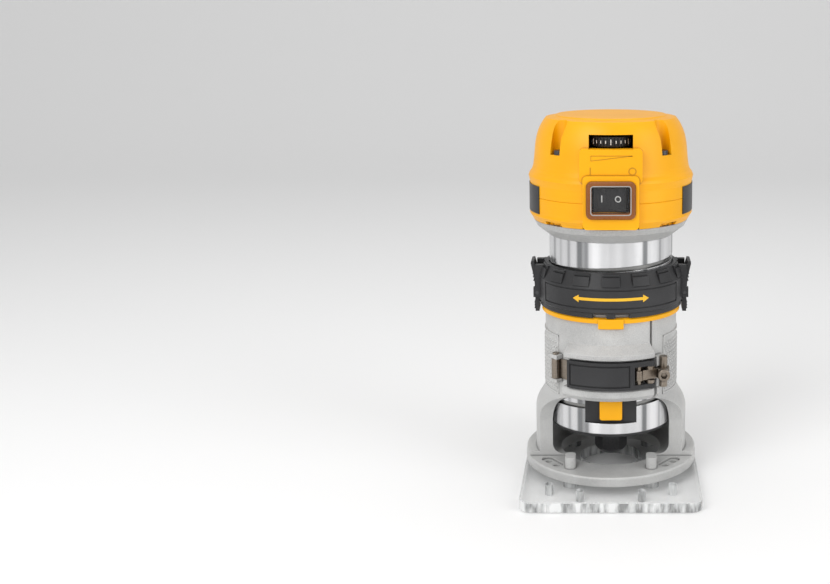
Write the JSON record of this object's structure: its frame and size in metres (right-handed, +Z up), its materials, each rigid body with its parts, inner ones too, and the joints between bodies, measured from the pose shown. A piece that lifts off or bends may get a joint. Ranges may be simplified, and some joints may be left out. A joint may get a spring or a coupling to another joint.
{
  "type": "trim router",
  "caption": "Trim router: yellow-capped tubular motor in a clamped fixed base, with depth ring, lever clamp, collet and clear sub-base.",
  "frame": {"origin": "on the spindle axis at the underside of the sub-base, the face that rides on the work", "axes": "+Z up along the spindle axis towards the motor cap; the switch and clamp lever face -Y; +X is to the right seen from the front"},
  "size_m": [0.097, 0.1764, 0.2034],
  "materials": {
    "cast_aluminium": "grey die casting with a fine grain",
    "machined_aluminium": "turned and polished barrel",
    "clear_plastic": "clear polycarbonate sheet",
    "yellow_plastic": "moulded, satin",
    "dark_plastic": "moulded glass-filled nylon",
    "black_plastic": "moulded",
    "amber_plastic": "amber brown moulding",
    "bright_steel": "plain or plated steel",
    "strap_steel": "brown phosphated strip steel",
    "black_steel": "black oxide steel",
    "core_steel": "stacked laminations",
    "copper": "enamelled copper",
    "carbon": "pressed carbon",
    "rubber": "moulded rubber",
    "clear_lens": "clear lens"
  },
  "bodies": {
    "base": {"base_casting": "cast_aluminium", "sub_base": "clear_plastic", "base_screws": "bright_steel", "guide_key": "bright_steel", "clamp_strap": "strap_steel", "strap_pin": "bright_steel"},
    "lever": {"clamp_lever": "dark_plastic", "lever_pins": "bright_steel", "link_pin": "bright_steel"},
    "link": {"clamp_link": "strap_steel", "link_barrel": "strap_steel", "tension_screw": "bright_steel"},
    "zero_ring": {"zero_ring": "yellow_plastic"},
    "depth_ring": {"depth_ring": "dark_plastic", "ring_thread_pins": "bright_steel", "tab_pins": "bright_steel", "tab_springs": "bright_steel"},
    "left_tab": {"left_release_tab": "dark_plastic"},
    "right_tab": {"right_release_tab": "dark_plastic"},
    "motor": {"motor_case": "machined_aluminium", "nose_plate": "dark_plastic", "nose_screws": "bright_steel", "led_lenses": "clear_lens", "lock_housing": "dark_plastic", "lock_spring": "bright_steel", "lower_bearing_outer_race": "bright_steel", "upper_bearing_outer_race": "bright_steel", "stator_core": "core_steel", "stator_windings": "copper", "upper_bracket": "black_plastic", "bracket_screws": "bright_steel", "brush_holders": "black_plastic", "carbon_brushes": "carbon", "brush_springs": "bright_steel", "motor_cap": "yellow_plastic", "cap_band": "yellow_plastic", "cap_screws": "bright_steel", "side_plates": "black_plastic", "switch_frame": "amber_plastic", "switch_body": "black_plastic", "switch_boot": "clear_plastic", "speed_module": "black_plastic", "cord_guard": "rubber", "cord": "rubber"},
    "lock": {"lock_button": "yellow_plastic", "lock_pin": "bright_steel"},
    "rocker": {"switch_rocker": "black_plastic"},
    "dial": {"speed_dial": "black_plastic"},
    "spindle": {"spindle": "bright_steel", "lock_collar": "black_steel", "lower_bearing_inner_race": "bright_steel", "lower_bearing_balls": "bright_steel", "upper_bearing_inner_race": "bright_steel", "upper_bearing_balls": "bright_steel", "armature_core": "core_steel", "armature_windings": "copper", "commutator": "copper", "fan": "black_plastic"},
    "collet": {"collet": "bright_steel"},
    "collet_nut": {"collet_nut": "black_steel"}
  },
  "joints": [
    {"name": "ring_turn", "type": "hinge", "parent": "base", "child": "depth_ring", "pos_m": [0, 0, 0.11], "axis": [0, 0, 1], "range_deg": [-1081, 361]},
    {"name": "motor_slide", "type": "slide", "parent": "base", "child": "motor", "axis": [0, 0, 1], "range_m": [-0.00953, 0.02857]},
    {"name": "zero_ring_turn", "type": "hinge", "parent": "base", "child": "zero_ring", "pos_m": [0, 0, 0.0955], "axis": [0, 0, 1], "continuous": true},
    {"name": "left_tab_press", "type": "hinge", "parent": "depth_ring", "child": "left_tab", "pos_m": [-0.0412, 0, 0.1045], "axis": [0, 1, 0], "range_deg": [0, 14], "stiffness_Nm_per_rad": 0.08, "deforming": ["tab_springs"]},
    {"name": "right_tab_press", "type": "hinge", "parent": "depth_ring", "child": "right_tab", "pos_m": [0.0412, 0, 0.1045], "axis": [0, -1, 0], "range_deg": [0, 14], "stiffness_Nm_per_rad": 0.08, "deforming": ["tab_springs"]},
    {"name": "lever_swing", "type": "hinge", "parent": "base", "child": "lever", "pos_m": [0.02132, -0.03549, 0.0656], "axis": [0, 0, 1], "range_deg": [0, 100]},
    {"name": "link_swing", "type": "hinge", "parent": "lever", "child": "link", "pos_m": [0.01514, -0.03843, 0.0655], "axis": [0, 0, 1], "range_deg": [-115.5, 0]},
    {"name": "spindle_spin", "type": "hinge", "parent": "motor", "child": "spindle", "pos_m": [0, 0, 0.06], "axis": [0, 0, 1], "continuous": true},
    {"name": "nut_turn", "type": "hinge", "parent": "collet", "child": "collet_nut", "pos_m": [0, 0, 0.018], "axis": [0, 0, 1], "range_deg": [-721, 1]},
    {"name": "collet_slide", "type": "slide", "parent": "spindle", "child": "collet", "axis": [0, 0, 1], "range_m": [-0.002, 0]},
    {"name": "lock_press", "type": "slide", "parent": "motor", "child": "lock", "axis": [0, 1, 0], "range_m": [0, 0.003], "stiffness_N_per_m": 600, "deforming": ["lock_spring"]},
    {"name": "rocker_tilt", "type": "hinge", "parent": "motor", "child": "rocker", "pos_m": [0, -0.0405, 0.16275], "axis": [0, 0, 1], "range_deg": [0, 16]},
    {"name": "dial_turn", "type": "hinge", "parent": "motor", "child": "dial", "pos_m": [0, -0.0296, 0.192], "axis": [0, 0, 1], "range_deg": [-135, 135]}
  ],
  "couplings": [
    {"joint": "ring_turn", "follows": "motor_slide", "rad_per_m": -659.65},
    {"joint": "link_swing", "follows": "lever_swing", "ratio": -1.15},
    {"joint": "nut_turn", "follows": "collet_slide", "rad_per_m": 6283.2}
  ]
}
